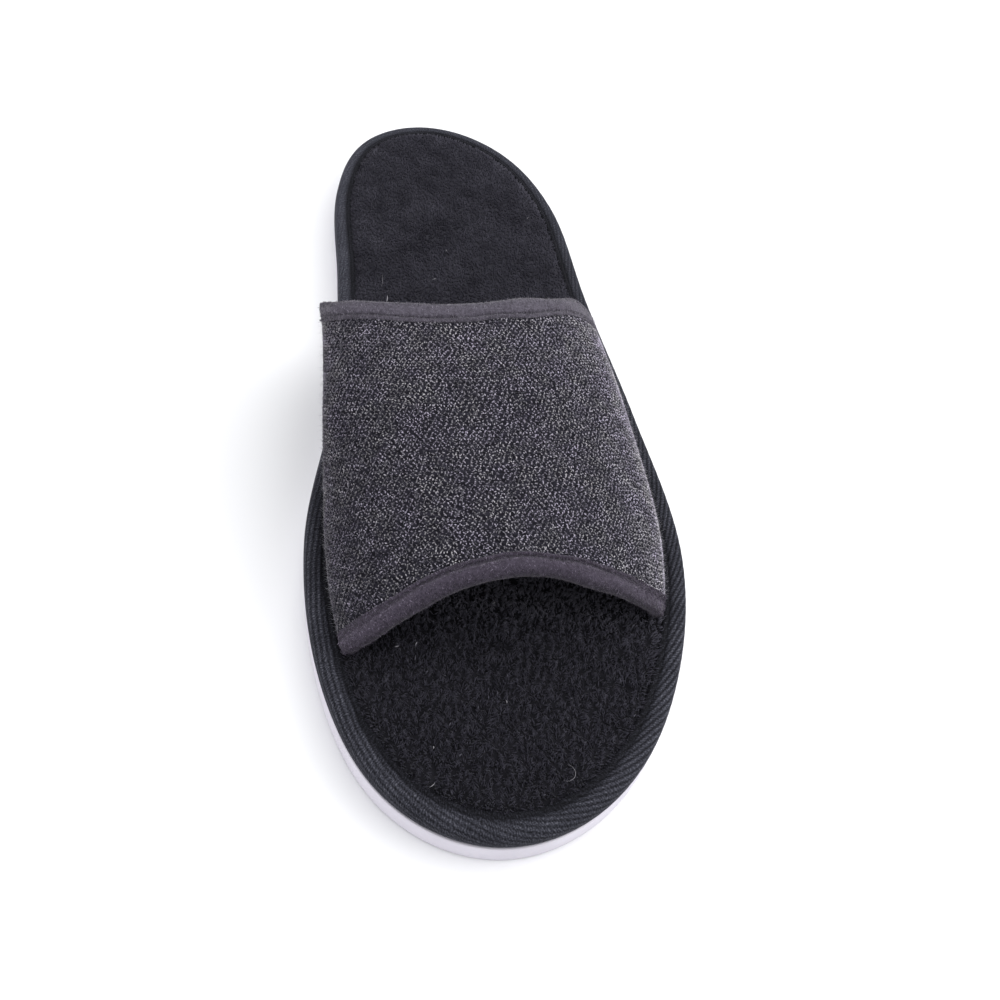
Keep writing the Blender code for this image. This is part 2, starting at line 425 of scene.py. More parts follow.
def footbedTop(x, y):
    # A quick rise beside the tape, then a slow crown, with tufts on it
    p = footbed
    away = np.linalg.norm(edgeNear(x, y), axis=-1)
    rise = p["edgeRise"] * ease(away, 0, p["edgeReach"]) + p["crown"] * ease(away, 0, p["crownReach"])
    return p["edgeZ"] + rise + p["tuftRise"] * tuftHeight(x, y) * ease(away, *p["tuftReach"])


def makeFootbed():
    # Straight courses between points of the inner and outer edge, with a skirt down to a flat underside
    p = footbed
    turn = turnAt(np.linspace(p["tipGap"], edgeRun[sole["halfSteps"]] - p["tipGap"], p["rows"]))
    inset = tapeWide(turn) - p["tuck"]
    inner, outer = soleEdge(2 * np.pi - turn, inset), soleEdge(turn, inset)
    flat = mix(inner[:, None], outer[:, None], np.linspace(0, 1, p["columns"])[None, :, None])
    top = np.concatenate([flat, footbedTop(flat[..., 0], flat[..., 1])[..., None]], -1)
    index = np.arange(p["rows"] * p["columns"]).reshape(p["rows"], p["columns"])
    rim = np.concatenate([index[0, :-1], index[:-1, -1], index[-1, :0:-1], index[:0:-1, 0]])
    low = top.reshape(-1, 3)[rim] * (1, 1, 0) + (0, 0, p["low"])
    below = index.size + np.arange(len(rim))
    skirt = np.stack([rim, below, np.roll(below, -1), np.roll(rim, -1)], 1)
    faces, _, _ = gridFaces(p["rows"], p["columns"])
    points = np.concatenate([top.reshape(-1, 3), low])
    shade = trodden(points[:, 1])
    piece = putMesh("footbedBoard", points, [faces, skirt, below[None, ::-1]], [plushGround()], shade=shade)
    dress(piece, "footbed_plush", "footbed")


# Pile: stout tufts and thin hairs, long at the toe and trodden flat at the heel, in two pieces

pile = {
    "pileFront": {"y": (-136.0, -22.0), "count": 41500, "long": 1.75},
    "pileRear": {"y": (-22.0, 137.0), "count": 41500, "long": 2.2},
}
fibres = {
    "x": (-56.0, 54.0), "spare": 3, "inset": -0.4, "sink": 0.15, "slopeStep": 0.3, "slopePull": 0.7,
    "nap": (0.03, 0.12), "spread": 0.26, "flatSpread": 0.7, "overEdge": 0.9, "edgeReach": (0.4, 3.5),
    "up": (0.5, 1.0), "longSpread": (0.6, 1.1), "flatLong": 0.42, "flatShare": 0.85,
    "tuft": 0.3, "hair": 0.1, "tuftShare": 0.75, "stoutSpread": (0.7, 1.25), "flatStout": 1.35,
}
pileTone = {
    # toe: painted light, the pile under the arch, in the upper's shade, made paler; heel takes most of it off
    # again towards the heel
    "plain": 0.635, "toe": 0.6, "paintedArchLightFade": (-92.0, -62.0), "heel": -0.57, "heelFade": (-40.0, 20.0),
    # rim: painted highlight, the pile paler along the raised heel edge
    "patch": 0.085, "rim": 0.14, "paintedRimLightReach": (2.0, 11.0), "paintedRimLightFade": (60.0, 110.0),
    "clump": 0.06, "own": 0.05, "flatClump": 0.2, "fleck": 0.3, "fleckRare": 0.994, "flatFleck": 0.6,
    # ends: painted shade, a fibre's three root corners darker than its tip, as down among the fibres; less so
    # on trodden pile
    "least": 0.05, "ends": (0.86, 0.86, 0.86, 1.0), "flatRootShade": 0.95, "flatShare": 0.8,
    "patches": ((1, 1, 1, 24.0, 8), (0.7, 1, 1, 9.0, 11)),
    "clumps": ((1, 1, 1.2, 2.4, 9), (0.7, 1, 1, 7.0, 10)),
}


def makePile(name, fibre):
    # Tufts and hairs on random spots of one half, leaning up the nearest swell, so that their tips gather
    p, f, t = pile[name], fibres, pileTone
    draw = np.random.default_rng(len(name))
    y = draw.uniform(*p["y"], f["spare"] * p["count"])
    x = draw.uniform(*f["x"], len(y))
    within = (x > sideAt(y, -1, f["inset"])) & (x < sideAt(y, 1, f["inset"]))
    kept = np.flatnonzero(within)[: p["count"]]
    x, y = x[kept], y[kept]
    count = len(x)
    roots = np.stack([x, y, footbedTop(x, y) - f["sink"]], 1)
    step = f["slopeStep"]
    slope = np.stack([
        tuftHeight(x + step, y) - tuftHeight(x - step, y),
        tuftHeight(x, y + step) - tuftHeight(x, y - step),
    ], 1) / (2 * step)
    flat = trodden(y)
    toEdge = edgeNear(x, y)
    away = np.linalg.norm(toEdge, axis=1)
    stray = draw.normal(0, f["spread"], (count, 2)) * mix(1, f["flatSpread"], flat)[:, None]
    lean = np.array(f["nap"]) + f["slopePull"] * slope + stray
    lean = lean + f["overEdge"] * unit(toEdge) * (1 - ease(away, *f["edgeReach"]))[:, None]
    way = unit(np.concatenate([lean, draw.uniform(*f["up"], (count, 1))], 1))
    thick = draw.random(count) < f["tuftShare"]
    long = mix(draw.uniform(*f["longSpread"], count), f["flatLong"], f["flatShare"] * flat)
    tips = roots + way * p["long"] * long[:, None]
    radius = np.where(thick, f["tuft"], f["hair"]) * draw.uniform(*f["stoutSpread"], count)
    points, faces = spikes(roots, tips, radius * mix(1, f["flatStout"], flat))
    # Painted highlight: the pile paler along the raised heel edge
    rim = (1 - ease(away, *t["paintedRimLightReach"])) * ease(y, *t["paintedRimLightFade"])  # the raised heel edge catches the light
    # worn holds painted light: the pile under the arch, in the upper's shade, made paler, fading out again
    # towards the heel
    worn = t["toe"] * ease(y, *t["paintedArchLightFade"]) + t["heel"] * ease(y, *t["heelFade"])
    worn = worn + flat * (t["patch"] * waveSum(x, y, t["patches"]) + t["rim"] * rim)
    own = t["clump"] * waveSum(x, y, t["clumps"]) + draw.normal(0, t["own"], count)
    tone = t["plain"] + worn + own * mix(1, t["flatClump"], flat)
    fleck = (draw.random(count) > t["fleckRare"]) * t["fleck"] * (1 - t["flatFleck"] * flat)
    tone = np.clip(tone + fleck, t["least"], 1)[:, None]
    # Painted shade: each fibre darker at its root than at its tip, less so where trodden flat
    shade = tone * mix(np.array(t["ends"]), t["flatRootShade"], t["flatShare"] * flat[:, None])
    dress(putMesh(name, points, [faces], [fibre], shade=shade), "footbed_plush")


# Lint: a few pale bits and hairs caught in the plush and, higher up, on the throat strip, a column each

lint = {"steps": 11, "above": 1.5, "arch": 0.25, "taper": (0.1, 0.9), "colour": (0.24, 0.23, 0.25)}
lintRows = {
    "x": (-28.4, -23.1, -2.8, -18.7, -19.7, -0.4, 11.9, -17.2, -12.0, 16.0, -33.5, -33.6),
    "y": (-90.5, -90.1, -76.1, -119.0, -128.4, -106.4, -126.0, 51.6, 66.0, 88.0, 46.5, -0.3),
    "long": (1.3, 1.0, 0.9, 0.8, 1.6, 1.2, 7.5, 1.4, 1.0, 0.9, 6.0, 2.4),
    "turn": (10, 60, 20, 80, 35, 95, 65, 15, 120, 40, 88, 85),
    "curl": (0.5, 0.2, 0.4, 0.1, 0.6, 0.3, 1.7, 0.4, 0.3, 0.2, 0.2, 0.2),
    "radius": (0.13, 0.12, 0.11, 0.15, 0.1, 0.11, 0.05, 0.1, 0.09, 0.09, 0.04, 0.14),
    "lift": (0.0,) * 11 + (35.3,),
}


def makeLint():
    # Each bit is a tube along an arc whose heading swings by curl to each side, lying on the pile's tips
    p = lint
    x, y, long, turn, curl, radius, lift = (np.array(row)[:, None] for row in lintRows.values())
    share = np.linspace(0, 1, p["steps"])[None]
    heading = np.radians(turn) + curl * (share - 0.5) * 2
    step = long * np.gradient(share, axis=1)
    pathX, pathY = (s + np.cumsum(step * f(heading), 1) for s, f in ((x, np.cos), (y, np.sin)))
    z = footbedTop(pathX, pathY) + lift + p["above"] + p["arch"] * np.sin(np.pi * share)
    made, _, shader = newFinish("lint", rough=0.9, specular=0.1)
    shader.inputs["Base Color"].default_value = (*p["colour"], 1)
    upright = np.broadcast_to([0.0, 0.0, 1.0], z.shape + (3,))
    radius = radius * np.sin(np.pi * np.clip(share, *p["taper"]))
    points, faces = tubes(np.stack([pathX, pathY, z], -1), radius, upright)
    dress(putMesh("lint", points, faces, [made]), "footbed_plush")


# Edge tape: ribbed cloth folded over the footbed's edge, its ribs slanting across it on the outer side

tape = {
    "columns": 1500, "rows": (3, 46, 5), "shown": (1, 12), "low": 6.3, "top": 12.3, "wide": 6.4, "back": 4.0,
    "ribPitch": 1.35, "ribRise": 0.09, "ribSharp": 0.5, "ribWander": 0.12, "wanderPitch": 22.0,
    "gatherPitch": 7.0, "gatherRise": 0.16, "gatherFade": (40.0, 150.0), "gatherShare": (0.1, 0.6),
    # Painted shade in the tones: darker in the rib grooves and towards the tape's inner edge beside the pile
    "plainTone": 0.55, "paintedRibShade": 0.9, "innerShadeTones": (1.1, 0.4), "innerShadeShare": (0.45, 0.9),
    "pickPitch": 0.8, "pickSlant": 0.4, "pickDrift": 0.003,
}
# Section from the lower leaf's end out, over and in to the upper leaf's end, then back inside:
# inset as a share of the tape's width, height as a share of its rise, rib as a share of the ribs' rise
tapeRows = {
    "at": tuple(range(16)),
    "inset": (0.6, 0.2, 0.06, 0.0, 0.03, 0.13, 0.3, 0.5, 0.66, 0.74, 0.82, 0.93, 1.0, 0.97, 0.5, 0.35),
    "height": (0.0, 0.0, 0.16, 0.45, 0.76, 0.94, 1.01, 1.0, 0.98, 0.945, 0.975, 0.97, 0.9, 0.75, 0.7, 0.3),
    "rib": (0, 0.5, 1, 1, 1, 1, 1, 1, 1, 0.7, 1, 0.8, 0.2, 0, 0, 0),
}
# From the toe round the outer side to the heel and back along the inner side: ribs met per mm of edge,
# how deep they are, and how much paler the cloth is
ribRows = {
    "round": (0.0, 0.1, 0.3, 0.5, 0.7, 0.88, 0.96, 1.0),
    "rate": (0.2, 0.26, 0.19, 0.15, 0.1, 0.04, 0.08, 0.2),
    "depth": (0.4, 0.7, 0.5, 0.15, 0.2, 0.6, 0.5, 0.4),
    "pale": (0.05, 0.0, 0.0, 0.2, 0.15, 0.03, 0.05, 0.05),
}


def twillFinish():
    look = {"specular": 0.06, "sheen": 0.04, "sheenRough": 0.3, "sheenTint": (0.75, 0.8, 1.0)}
    made, tree, shader = newFinish("twillTape", rough=0.7, **look)
    cloth = fabricCoords(tree)
    yarn = noise(tree, cloth, 0.0004, rough=0.6, stretch=(1.3, 1, 1))
    worn = noise(tree, cloth, 0.012, detail=3)
    spot = plug(tree, "SeparateXYZ", {0: cloth}).outputs
    drift = weighed(tree, (noise(tree, cloth, 0.002), tape["pickDrift"]), (spot[1], tape["pickSlant"]))
    slant = maths(tree, "ADD", spot[0], drift)
    picks = maths(tree, "SINE", maths(tree, "MULTIPLY", slant, 2 * np.pi / tape["pickPitch"] / mm))
    dashes = maths(tree, "ADD", picks, 1.0)  # short dashes of weft across the ribs
    tone = weighed(tree, (shadeOf(tree), 0.36), (yarn, 0.55), (worn, 0.16), (dashes, 0.06))
    colourBy(tree, shader, tone, [
        (0.4, (0.002, 0.002, 0.0028)),
        (0.56, (0.0096, 0.0097, 0.0128)),
        (0.74, (0.035, 0.0354, 0.0456)),
        (0.97, (0.145, 0.148, 0.175)),
    ])
    bumpBy(tree, shader, yarn, 0.5, 0.2)
    return made


def makeTape():
    # The section carried round the edge; a rib's phase grows across the tape and, by its rate, along it
    p = tape
    lower, shown, inside = p["rows"]  # close rows only where the cloth shows
    start, end = p["shown"]
    at = np.concatenate([
        np.linspace(0, start, lower)[:-1],
        np.linspace(start, end, shown),
        np.linspace(end, tapeRows["at"][-1], inside)[1:],
    ])
    share, height, rib = (rowValue(tapeRows, k, at) for k in list(tapeRows)[1:])
    flat = np.stack([share * p["wide"], height * (p["top"] - p["low"])], 1)
    across = runAlong(flat)
    way = np.linspace(0, 1, p["columns"] + 1)
    met = np.concatenate([[0], np.cumsum(rowValue(ribRows, "rate", way)[:-1])]) * edgeLength / p["columns"]
    met = (met * np.round(met[-1]) / met[-1])[:-1, None]  # a whole number of ribs, so that the ends join
    run = way[:-1, None] * edgeLength
    turn = turnAt(run)
    lineX, lineY = np.moveaxis(soleEdge(turn, 0), -1, 0)
    wander = p["ribWander"] * waves(lineX, lineY, p["wanderPitch"], 6)
    phase = 2 * np.pi * (across / p["ribPitch"] + met + wander)
    ridge = (0.5 + 0.5 * np.cos(phase)) ** p["ribSharp"]
    depth, pale = (rowValue(ribRows, name, way[:-1])[:, None] for name in ("depth", "pale"))
    nearToe = 1 - ease(np.minimum(run, edgeLength - run), *p["gatherFade"])
    gather = waves(lineX, lineY, p["gatherPitch"], 5) * nearToe
    gather = gather * p["gatherRise"] * ease(share, *p["gatherShare"])
    rise = rib * (p["ribRise"] * depth * ridge + gather)
    slope = np.gradient(flat, axis=0)
    out = unit(np.stack([-slope[:, 1], slope[:, 0]], 1))  # square to the section, away from the foam
    inset = share * tapeWide(turn) + rise * out[:, 0]
    z = p["low"] + height * (p["top"] - p["low"]) + rise * out[:, 1]
    points = np.concatenate([soleEdge(turn, inset), z[..., None]], -1)
    faces, r, c = (g[:, ::-1] for g in gridFaces(p["columns"], len(at), wrapRows=True, wrapColumns=True))
    around = np.append(across, across[-1] + p["back"])
    uv = np.stack([r / p["columns"] * edgeLength, around[c]], -1).reshape(-1, 2) * mm
    # Painted shade: paler on the rib ridges, darker in the grooves between them
    shade = pale + mix(p["plainTone"], ridge, p["paintedRibShade"] * depth)
    # Painted shade: darker towards the inner edge beside the pile; it also falls with the rib share towards
    # the leaf ends
    shade = shade * mix(*p["innerShadeTones"], ease(share, *p["innerShadeShare"])) * np.clip(rib, 0, 1)
    dress(putMesh("edgeTape", points, [faces], [twillFinish()], uv=uv, shade=shade), "edge_tape", "sole_tape")


# Upper: a knit vault over the instep, thin foam and a lining behind it

upper = {
    "across": 180, "along": 84, "wall": 2.0, "footZ": 12.6, "footClear": 0.8, "tuck": 1.5, "upright": 0.06,
    "shoulderPeak": 0.65, "girth": 130.0, "courseSteps": 60, "nudge": 0.001,
}
# y of the two free edges, in mm, by the share of the way across from the inner foot
edgeRows = {
    "across": (0.0, 0.1, 0.25, 0.37, 0.5, 0.63, 0.75, 0.9, 1.0),
    "throat": (30.0, 20.5, 5.4, 0.2, -0.5, 5.4, 14.6, 22.6, 36.0),
    "toe": (-90.3, -91.8, -91.1, -86.7, -83.1, -81.1, -79.4, -76.3, -73.9),
}
# The arch by the share of the way from throat to toe
vampRows = {
    "along": (0.0, 0.35, 0.7, 1.0),
    "height": (37.0, 36.0, 31.0, 27.2),
    "innerBulge": (23.2, 19.6, 9.1, 4.6),
    "outerBulge": (4.5, 3.7, 3.4, 3.8),
    "fullness": (2.6, 2.5, 2.2, 1.67),
    "steepness": (0.45, 0.5, 0.65, 0.95),
}
# Soft creases, a column each: middle in plan, direction from +X, half length, half width, rise in mm
creaseRows = {
    "x": (-30, 2, 24, -8, 12, -26, 30),
    "y": (-20, -38, -30, -66, -70, -62, -62),
    "turn": (62, 4, -58, 24, -18, 50, -42),
    "long": (26, 30, 24, 13, 13, 16, 15),
    "wide": (7, 9, 6, 4, 4.5, 5, 5),
    "rise": (-0.6, -0.5, -0.5, -0.35, -0.3, 0.4, 0.35),
}


def creaseLift(x, y):
    # Each crease is a long bell: falls off along its line and, faster, across it
    total = np.zeros(x.shape)
    for middleX, middleY, turn, long, wide, rise in zip(*creaseRows.values()):
        c, s = np.cos(np.radians(turn)), np.sin(np.radians(turn))
        along = (x - middleX) * c + (y - middleY) * s
        aside = (y - middleY) * c - (x - middleX) * s
        total += rise * np.exp(-((along / long) ** 2) - (aside / wide) ** 2)
    return total


def vault(across, along):
    # Feet on the sole's two sides, shoulders bulged out,
    # and between them rise = (1 - |side| ^ fullness) ^ steepness
    p = upper
    side = -np.cos(np.pi * across)
    share = (1 + side) / 2
    full = rowValue(vampRows, "fullness", along)
    rise = np.clip(1 - np.abs(side) ** full, 0, 1) ** rowValue(vampRows, "steepness", along)
    throat, toe = (rowValue(edgeRows, name, across) for name in ("throat", "toe"))
    inner = sideAt(mix(edgeRows["throat"][0], edgeRows["toe"][0], along), -1, p["footClear"])
    outer = sideAt(mix(edgeRows["throat"][-1], edgeRows["toe"][-1], along), 1, p["footClear"])
    shoulder = np.sin(np.pi * across) / p["shoulderPeak"]
    x = mix(inner, outer, share) - rowValue(vampRows, "innerBulge", along) * shoulder * (1 - share)
    x = x + rowValue(vampRows, "outerBulge", along) * shoulder * share
    z = p["footZ"] + rowValue(vampRows, "height", along) * rise
    return np.stack([x, mix(throat, toe, along), z], -1)


def vampFrame(across, along):
    # Point of the upper's outer face with its creases, and the face's normal, kept level at the feet
    across, along = np.broadcast_arrays(across, along)
    step = upper["nudge"]
    over = vault(np.clip(across + step, 0, 1), along) - vault(np.clip(across - step, 0, 1), along)
    ahead = vault(across, along + step) - vault(across, along - step)
    normal = np.cross(ahead, over)
    normal[..., 2] *= np.clip(np.minimum(across, 1 - across) / upper["upright"], 0, 1)
    normal = unit(normal)
    place = vault(across, along)
    return place + creaseLift(place[..., 0], place[..., 1])[..., None] * normal, normal


def courseLength(across):
    # Length of the upper from throat to toe at each place across
    line = vault(across[:, None], np.linspace(0, 1, upper["courseSteps"])[None])
    return np.linalg.norm(np.diff(line, axis=1), axis=-1).sum(1)


def knitGround():
    made, tree, shader = newFinish("knitGround", rough=0.95, specular=0.1)
    yarn = noise(tree, fabricCoords(tree), 0.0011, detail=3, rough=0.6, stretch=(1.6, 1, 1))
    colourBy(tree, shader, yarn, [(0.4, (0.005, 0.0047, 0.0073)), (0.7, (0.026, 0.0245, 0.0345))])
    bumpBy(tree, shader, yarn, 0.6, 0.3)
    return made


def liningFinish():
    made, tree, shader = newFinish("lining", rough=0.95, specular=0.08, sheen=0.1)
    weave = noise(tree, objectCoords(tree), 0.0009)
    colourBy(tree, shader, weave, [(0.35, (0.017, 0.0158, 0.0205)), (0.65, (0.041, 0.0382, 0.0475))])
    bumpBy(tree, shader, weave, 0.5, 0.2)
    return made


def makeUpper():
    # Outer and inner face, a wall apart, joined at throat and toe, closed at the feet, which sink in the pile
    p = upper
    across, along = (np.linspace(0, 1, p[name]) for name in ("across", "along"))
    face, normal = vampFrame(across[:, None], along[None])
    loop = np.concatenate([face, (face - p["wall"] * normal)[:, ::-1]], 1)
    sunk = loop - (0, 0, p["tuck"])
    loop = np.concatenate([sunk[:1], loop, sunk[-1:]])
    rows, columns = loop.shape[:2]
    faces, r, c = gridFaces(rows, columns, wrapColumns=True)
    ring = np.arange(columns)
    ends = [ring[None], (rows - 1) * columns + ring[None, ::-1]]
    runs = (runAlong(loop, axis) for axis in (0, 1))
    uRun, vRun = (np.concatenate([g, g[:, -1:]], 1) for g in runs)
    uv = np.stack([uRun[r, c], vRun[r, c]], -1).reshape(-1, 2) * mm
    piece = putMesh("upperKnit", loop, [faces, *ends], [knitGround(), liningFinish()], uv=uv)
    inside = np.zeros(len(piece.data.polygons), np.int32)
    inside[: len(faces)] = c[:, 0] >= p["along"] - 1
    piece.data.polygons.foreach_set("material_index", inside)
    dress(piece, "upper_knit", "upper")


# Knit stitches: rows that run beside the throat, each stitch a left leg, a right leg and the loop below them,
# which the threefold values give in that order

knit = {
    "rowPitch": 1.15, "stitchPitch": 1.63, "hem": {"throat": 6.2, "toe": 4.3}, "halfRun": 80.0, "steps": 361,
    "sway": 0.25, "swayPitch": 5.0, "placed": (0.012, 0.988), "kept": (0.008, 0.992), "nudge": 0.002,
    "acrossNoise": 0.0012, "aheadNoise": 0.13, "aside": (-0.41, 0.41, 0.0), "ahead": (0.0, 0.0, 0.57),
    "slant": (58.0, -58.0, 0.0), "slantNoise": 20.0, "long": (0.95, 0.95, 0.8), "longSpread": (0.75, 1.2),
    "wide": 0.43, "wideSpread": (0.75, 1.15), "rise": 0.28, "riseSpread": (0.7, 1.2), "sink": 0.06,
}
heather = {
    "tones": (0.76, 0.73, 0.65), "streak": 0.11, "stitchNoise": 0.06, "strokeNoise": 0.105,
    # ends: painted shade on a stroke's four base corners and painted highlight on its top
    "paintedInnerShade": -0.38, "paintedShadeReach": (0.0, 0.5), "ends": (0.8, 0.8, 0.8, 0.8, 1.12),
    "streaks": ((1, 5.0, 1, 1.9, 31), (0.4, 1.6, 1, 9.0, 32)),
}
fuzz = {
    "count": 8000, "across": (0.006, 0.994), "along": (0.05, 0.95), "lift": 0.25, "turnOut": 1.6,
    "stand": 0.12, "long": (0.8, 2.4), "radius": (0.02, 0.036), "tone": (0.2, 1.0),
    "colours": ((0.0, (0.05, 0.048, 0.056)), (1.0, (0.42, 0.41, 0.45))),
}


def yarnFinish():
    made, tree, shader = newFinish("heatherYarn", rough=0.85, specular=0.15, sheen=0.2, sheenRough=0.3)
    grey = ramp(tree, shadeOf(tree), [
        (0.0, (0.0105, 0.0102, 0.0138)),
        (0.35, (0.058, 0.0565, 0.0645)),
        (0.65, (0.21, 0.206, 0.218)),
        (1.0, (0.6, 0.592, 0.615)),
    ])
    cast = noise(tree, objectCoords(tree), 0.007, detail=1)
    tint = ramp(tree, cast, [(0.38, (1.0, 0.97, 0.99)), (0.62, (1.0, 0.925, 1.11))])
    both = plug(tree, "Mix", {"Factor": 1.0, "A": grey, "B": tint}, data_type="RGBA", blend_type="MULTIPLY")
    tree.links.new(both.outputs["Result"], shader.inputs["Base Color"])
    return made


def knitPlaces():
    # Rows at equal distance from the throat, stitches at equal steps along each row
    p = knit
    across = np.linspace(0, 1, p["steps"])
    reach = courseLength(across)
    rows = np.arange(p["hem"]["throat"], reach.max(), p["rowPitch"])
    along = rows[None] / reach[:, None]
    points, _ = vampFrame(across[:, None], along)
    run = runAlong(points)
    run -= run[p["steps"] // 2]
    steps = np.arange(-p["halfRun"], p["halfRun"], p["stitchPitch"])
    found = []
    for j in range(len(rows)):
        place = steps + p["stitchPitch"] / 2 * (j % 2) + p["sway"] * np.sin(rows[j] / p["swayPitch"])
        at = np.interp(place, run[:, j], across, left=-1, right=-1)
        row = np.full(len(at), rows[j])
        found.append(np.stack([at, np.interp(at, across, along[:, j]), place, row], 1))
    found = np.concatenate(found)
    depth = (1 - found[:, 1]) * np.interp(found[:, 0], across, reach)
    first, last = p["placed"]
    return found[(found[:, 0] > first) & (found[:, 0] < last) & (depth > p["hem"]["toe"])]


def makeStitches():
    # A stroke is a low closed pyramid on a long diamond; heather tone runs in streaks along the rows
    p, h = knit, heather
    at, along, u, v = np.repeat(knitPlaces(), 3, axis=0).T
    draw = np.random.default_rng(21)
    count = len(at)
    leg = np.arange(count) % 3
    longWay, slant, aside, onwards = (np.array(p[key])[leg] for key in ("long", "slant", "aside", "ahead"))
    at = np.clip(at + draw.normal(0, p["acrossNoise"], count) + aside / upper["girth"], *p["kept"])
    onwards = onwards + draw.normal(0, p["aheadNoise"], count)
    across = np.linspace(0, 1, p["steps"])
    along = along + onwards / np.interp(at, across, courseLength(across))
    place, normal = vampFrame(at, along)
    before, after = (vampFrame(np.clip(at + step, 0, 1), along)[0] for step in (-p["nudge"], p["nudge"]))
    ahead = unit(after - before)
    down = np.cross(ahead, normal)
    turn = np.radians(slant + draw.normal(0, p["slantNoise"], count))[:, None]
    c, s = np.cos(turn), np.sin(turn)
    way, side = ahead * c + down * s, down * c - ahead * s
    long = longWay[:, None] / 2 * draw.uniform(*p["longSpread"], (count, 1)) * way
    wide = p["wide"] / 2 * draw.uniform(*p["wideSpread"], (count, 1)) * side
    top = place + p["rise"] * draw.uniform(*p["riseSpread"], (count, 1)) * normal
    low = place - p["sink"] * normal
    points = np.stack([low + long, low + wide, low - long, low - wide, top], 1)
    first = 5 * np.arange(count)[:, None, None]
    tops = (first + np.array([[4, 1, 0], [4, 2, 1], [4, 3, 2], [4, 0, 3]])).reshape(-1, 3)
    base = first[:, 0] + np.arange(4)
    own = np.repeat(draw.normal(0, h["stitchNoise"], count // 3), 3) + draw.normal(0, h["strokeNoise"], count)
    tone = np.array(h["tones"])[leg] + h["streak"] * waveSum(u, v, h["streaks"]) + own
    # Painted shade: the knit darker towards the inner side, which the lamps light less
    tone = tone + mix(h["paintedInnerShade"], 0.0, ease(at, *h["paintedShadeReach"]))  # darker towards the inner side
    # Painted shade at each stroke's base corners and painted highlight on its top
    shade = np.clip(tone, 0, 1)[:, None] * np.array(h["ends"])
    dress(putMesh("knitYarn", points, [tops, base], [yarnFinish()], shade=shade), "upper_knit")


def makeFuzz():
    # Loose pale fibre ends in all directions that stand a little off the knit
    p = fuzz
    draw = np.random.default_rng(22)
    at, along = draw.uniform(*p["across"], p["count"]), draw.uniform(*p["along"], p["count"])
    place, normal = vampFrame(at, along)
    way = unit(draw.normal(0, 1, normal.shape) + p["lift"] * normal)
    inwards = np.minimum((way * normal).sum(1, keepdims=True), 0)
    way = unit(way - inwards * normal * p["turnOut"] + p["stand"] * normal)
    tips = place + way * draw.uniform(*p["long"], (p["count"], 1))
    points, faces = spikes(place, tips, draw.uniform(*p["radius"], p["count"]))
    shade = np.repeat(draw.uniform(*p["tone"], p["count"]), 4)
    finish = shadedFinish("knitFuzz", p["colours"], rough=0.8, specular=0.2)
    dress(putMesh("knitFuzz", points, [faces], [finish], shade=shade, smooth=False), "upper_knit")


# Bindings: brushed velour strips folded over the throat and toe edges, sewn down in a groove

binding = {
    "across": 260, "steps": 56, "tuck": 1.2, "wander": 0.3, "wanderPitch": 17.0,
    "waver": 0.03, "waverPitch": 11.0, "puff": 0.08, "puffPitch": 6.0, "puffLift": (0.3, 0.8),
    "flush": 0.6, "flushEnd": (0.2, 0.36), "flushLift": (0.2, 0.7),
}
bindings = {
    "throatBinding": {
        "node": "throat_binding", "edge": 0.0, "inwards": 1, "groove": 4.7, "leaf": 6.4,
        "seed": 41, "tone": 0.47, "dyeAndShade": (0.85, 0.85, 0.85), "cast": (1.0, 1.0, 1.0),
    },
    # The toe strip's lower tone and darker dye are painted shade: the same velour as the throat strip, darker
    # where it faces forward, away from the lamp above
    "toeBinding": {
        "node": "toe_binding", "edge": 1.0, "inwards": -1, "groove": 3.55, "leaf": 4.7,
        "seed": 42, "tone": 0.31, "dyeAndShade": (0.57, 0.53, 0.58), "cast": (1.0, 0.93, 1.03),
    },
}
# Section in mm, from the outer leaf's end round the fold to the inner leaf: lift from the upper's outer face,
# and depth in from the leaf's end, from the groove or from the upper's edge
bindingRows = {
    "at": tuple(range(20)),
    "depth": (0.02, -0.08, 0.6, 0.18, -0.16, -0.8, 1.9, 0.4, -0.75, -1.15,
              -0.8, 0.2, 2.4, -0.2, 0.0, -0.3, 0.0, -0.2, 0.0, -0.3),
    "lift": (0.1, 0.42, 0.62, 0.12, 0.12, 0.66, 1.0, 0.86, 0.2, -0.95,
             -2.3, -2.85, -2.95, -2.85, -2.4, -2.0, -1.95, -1.0, 0.0, 0.0),
    "fromGroove": (0, 0, 1, 1, 1, 1) + (0,) * 14,
    "fromLeaf": (1, 1) + (0,) * 11 + (1, 1, 1, 0, 0, 0, 1),
}
# Painted highlight on the roll's crest and painted shade in its groove and under its fold, with how much goes
# on the ground and on the nap
roll = {
    "paintedCrestLight": (0.3, 0.06), "groove": (0.2, 0.03), "paintedGrooveShade": 0.6, "under": (0.33, 0.47), "paintedUnderShade": 1.5,
    "rollShadeOnGround": 0.07, "rollShadeOnNap": 0.13,
}
# Counts, stand, comb, times and paler: the short nap, then the loose fibres
velour = {
    "counts": (16000, 1100), "shown": 0.66, "fold": (0.36, 0.48), "stand": (0.35, 0.9), "comb": (0.6, 0.1),
    "spread": 0.45, "long": 0.8, "longTimes": (1, 1.7), "longSpread": (0.6, 1.2), "radius": 0.1,
    "radiusTimes": (1, 0.45), "radiusSpread": (0.7, 1.3), "sink": 0.05, "blotch": 0.11, "blotchPitch": 2.2,
    # ends: painted shade, a fibre's three root corners darker than its tip
    "blotchAlong": 0.5, "blotchRound": 0.4, "own": 0.24, "paler": (0, 0.25), "ends": (0.7, 0.7, 0.7, 1.0),
}
seam = {
    "place": 3.5, "ends": (1.5, 3.0), "stitch": 2.5, "gap": 0.7, "steps": 7, "arch": 0.3, "sink": 0.14,
    "thread": 0.19, "taper": (0.12, 0.88), "blunt": 0.4,
}


